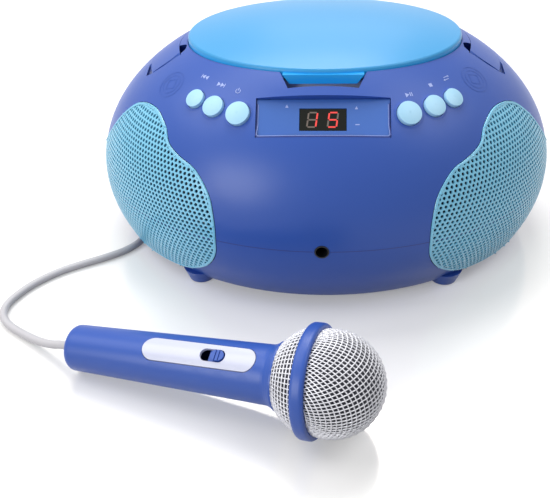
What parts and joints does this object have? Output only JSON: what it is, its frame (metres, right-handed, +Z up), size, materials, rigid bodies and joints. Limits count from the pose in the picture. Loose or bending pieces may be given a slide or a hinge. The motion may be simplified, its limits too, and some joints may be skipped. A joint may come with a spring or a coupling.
{
  "type": "karaoke machine with disc tray",
  "caption": "Squashed-oval portable disc player with a top lid, front speakers, display, push buttons, carry handle and a wired microphone with a round mesh head.",
  "frame": {"origin": "centre of the console's footprint, on the surface that it stands on", "axes": "+X to the listener's right, +Y to the back, +Z up; the display and the microphone socket face -Y"},
  "size_m": [0.3238, 0.4677, 0.131],
  "materials": {
    "board": "matte",
    "button": "satin",
    "case": "satin",
    "cone": "matte",
    "dark": "matte",
    "grille": "satin",
    "lead": "satin",
    "lens": "gloss",
    "lid": "gloss",
    "mesh": "satin",
    "pale": "satin",
    "rubber": "matte",
    "steel": "satin",
    "window": "gloss"
  },
  "bodies": {
    "console": {"top_case": "case", "bottom_case": "case", "case_screws": "steel", "rubber_feet": "rubber", "battery_contacts": "steel", "power_inlet": "dark", "transformer": "steel", "main_board": "board", "speaker_grille_left": "grille", "speaker_grille_right": "grille", "speaker_baffle_left": "dark", "speaker_baffle_right": "dark", "speaker_frame_left": "steel", "speaker_frame_right": "steel", "speaker_cone_left": "cone", "speaker_cone_right": "cone", "display_panel": "case", "display_window": "window", "display_module": "dark", "control_board_left": "board", "control_board_right": "board", "mic_socket": "dark", "lid_hinge_pins": "steel", "handle_pins": "steel", "disc_deck": "pale", "chassis_dampers": "rubber", "mech_chassis": "steel", "spindle_motor": "steel", "guide_rods": "steel", "sled_motor": "steel", "mic_handle": "case", "mic_switch_plate": "pale", "mic_ring": "case", "mic_head": "mesh", "mic_capsule": "dark", "mic_strain_relief": "lead", "mic_lead": "lead", "lead_coil": "lead", "mic_plug": "lead"},
    "lid": {"cd_lid": "lid"},
    "handle": {"carry_handle": "case"},
    "mic_switch": {"mic_switch": "case"},
    "turntable": {"turntable": "dark"},
    "sled": {"optical_sled": "dark", "pickup_lens": "lens"},
    "gear": {"sled_gear": "pale"},
    "pinion": {"motor_pinion": "pale"},
    "door": {"battery_door": "case"},
    "previous_button": {"previous_button": "button"},
    "next_button": {"next_button": "button"},
    "power_button": {"power_button": "button"},
    "play_button": {"play_button": "button"},
    "stop_button": {"stop_button": "button"},
    "mode_button": {"mode_button": "button"}
  },
  "joints": [
    {"name": "lid_hinge", "type": "hinge", "parent": "console", "child": "lid", "pos_m": [0, 0.0676, 0.11887], "axis": [-1, 0, 0], "range_deg": [0, 68]},
    {"name": "handle_hinge", "type": "hinge", "parent": "console", "child": "handle", "pos_m": [0, -0.014, 0.1105], "axis": [1, 0, 0], "range_deg": [0, 90]},
    {"name": "previous_button_press", "type": "slide", "parent": "console", "child": "previous_button", "axis": [0.3799, 0.5014, -0.7773], "range_m": [0, 0.001], "stiffness_N_per_m": 500, "springref_m": -0.0006},
    {"name": "next_button_press", "type": "slide", "parent": "console", "child": "next_button", "axis": [0.3196, 0.5627, -0.7624], "range_m": [0, 0.001], "stiffness_N_per_m": 500, "springref_m": -0.0006},
    {"name": "power_button_press", "type": "slide", "parent": "console", "child": "power_button", "axis": [0.2427, 0.6172, -0.7485], "range_m": [0, 0.001], "stiffness_N_per_m": 500, "springref_m": -0.0006},
    {"name": "play_button_press", "type": "slide", "parent": "console", "child": "play_button", "axis": [-0.2427, 0.6172, -0.7485], "range_m": [0, 0.001], "stiffness_N_per_m": 500, "springref_m": -0.0006},
    {"name": "stop_button_press", "type": "slide", "parent": "console", "child": "stop_button", "axis": [-0.3196, 0.5627, -0.7624], "range_m": [0, 0.001], "stiffness_N_per_m": 500, "springref_m": -0.0006},
    {"name": "mode_button_press", "type": "slide", "parent": "console", "child": "mode_button", "axis": [-0.3799, 0.5014, -0.7773], "range_m": [0, 0.001], "stiffness_N_per_m": 500, "springref_m": -0.0006},
    {"name": "mic_switch_slide", "type": "slide", "parent": "console", "child": "mic_switch", "axis": [-0.9503, 0.2887, -0.1167], "range_m": [0, 0.004]},
    {"name": "turntable_spin", "type": "hinge", "parent": "console", "child": "turntable", "pos_m": [0, 0, 0.109], "axis": [0, 0, 1], "continuous": true},
    {"name": "sled_slide", "type": "slide", "parent": "console", "child": "sled", "axis": [1, 0, 0], "range_m": [0, 0.032]},
    {"name": "gear_spin", "type": "hinge", "parent": "console", "child": "gear", "pos_m": [0.033, 0.0319, 0.098], "axis": [0, 0, 1], "range_deg": [0, 191]},
    {"name": "pinion_spin", "type": "hinge", "parent": "console", "child": "pinion", "pos_m": [0.04665, 0.0319, 0.098], "axis": [0, 0, 1], "range_deg": [-458.38, 0]},
    {"name": "door_slide", "type": "slide", "parent": "console", "child": "door", "axis": [0, 1, 0], "range_m": [0, 0.009]}
  ],
  "couplings": [
    {"joint": "gear_spin", "follows": "sled_slide", "rad_per_m": 104.17},
    {"joint": "pinion_spin", "follows": "sled_slide", "rad_per_m": -250}
  ]
}
